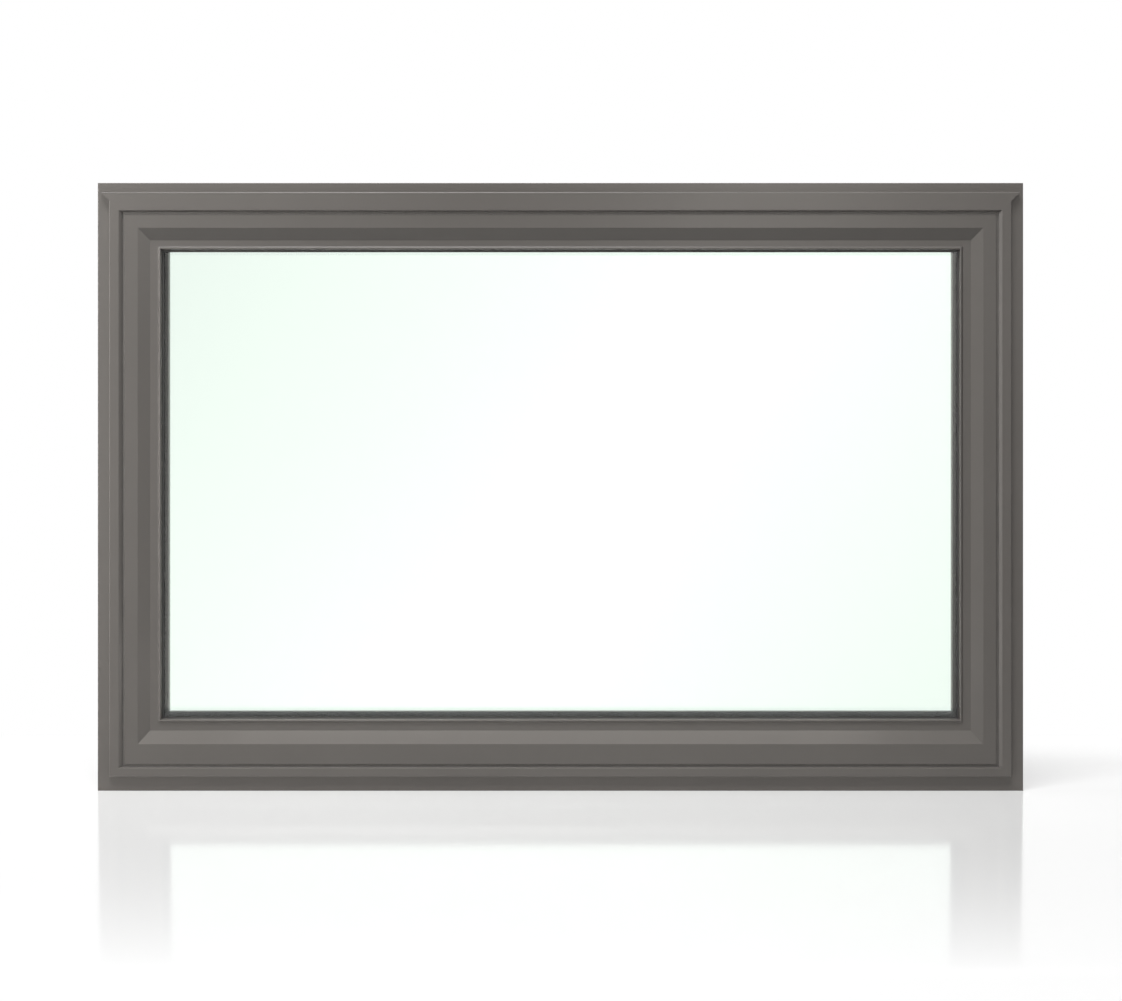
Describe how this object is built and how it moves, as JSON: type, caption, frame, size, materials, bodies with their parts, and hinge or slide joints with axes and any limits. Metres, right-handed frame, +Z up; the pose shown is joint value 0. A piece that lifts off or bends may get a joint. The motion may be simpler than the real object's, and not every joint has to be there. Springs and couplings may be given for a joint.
{
  "type": "fixed window",
  "caption": "Fixed rectangular window with stepped mitred frame, bevelled sash, black gaskets and sealed double glazing in a dark warm grey finish.",
  "frame": {"origin": "middle of the bottom of the bounding box: centred on the width and on the depth, at the underside of the sill", "axes": "+X along the width to the right as seen from outside, +Y from the outside face to the inside, +Z up"},
  "size_m": [1.218, 0.0826, 0.8],
  "materials": {
    "frame_vinyl": "satin",
    "sash_vinyl": "satin",
    "bead_vinyl": "satin",
    "gasket_rubber": "matte",
    "strip_rubber": "matte",
    "seal_rubber": "matte",
    "edge_sealant": "matte",
    "spacer_metal": "satin",
    "block_plastic": "matte",
    "pane_glass": "polished"
  },
  "bodies": {
    "root": {"edge_seal_bottom": "edge_sealant", "edge_seal_left": "edge_sealant", "edge_seal_right": "edge_sealant", "edge_seal_top": "edge_sealant", "frame_head": "frame_vinyl", "frame_jamb_left": "frame_vinyl", "frame_jamb_right": "frame_vinyl", "frame_sill": "frame_vinyl", "gap_seal_bottom": "seal_rubber", "gap_seal_left": "seal_rubber", "gap_seal_right": "seal_rubber", "gap_seal_top": "seal_rubber", "glazing_bead_bottom": "bead_vinyl", "glazing_bead_left": "bead_vinyl", "glazing_bead_right": "bead_vinyl", "glazing_bead_top": "bead_vinyl", "inner_gasket_bottom": "gasket_rubber", "inner_gasket_left": "gasket_rubber", "inner_gasket_right": "gasket_rubber", "inner_gasket_top": "gasket_rubber", "inner_pane": "pane_glass", "outer_gasket_bottom": "gasket_rubber", "outer_gasket_left": "gasket_rubber", "outer_gasket_right": "gasket_rubber", "outer_gasket_top": "gasket_rubber", "outer_pane": "pane_glass", "pane_block_left": "block_plastic", "pane_block_right": "block_plastic", "sash_block_left": "block_plastic", "sash_block_right": "block_plastic", "sash_bottom_rail": "sash_vinyl", "sash_left_stile": "sash_vinyl", "sash_right_stile": "sash_vinyl", "sash_top_rail": "sash_vinyl", "spacer_bar_bottom": "spacer_metal", "spacer_bar_left": "spacer_metal", "spacer_bar_right": "spacer_metal", "spacer_bar_top": "spacer_metal", "weather_strip_bottom": "strip_rubber", "weather_strip_left": "strip_rubber", "weather_strip_right": "strip_rubber", "weather_strip_top": "strip_rubber"}
  },
  "joints": []
}
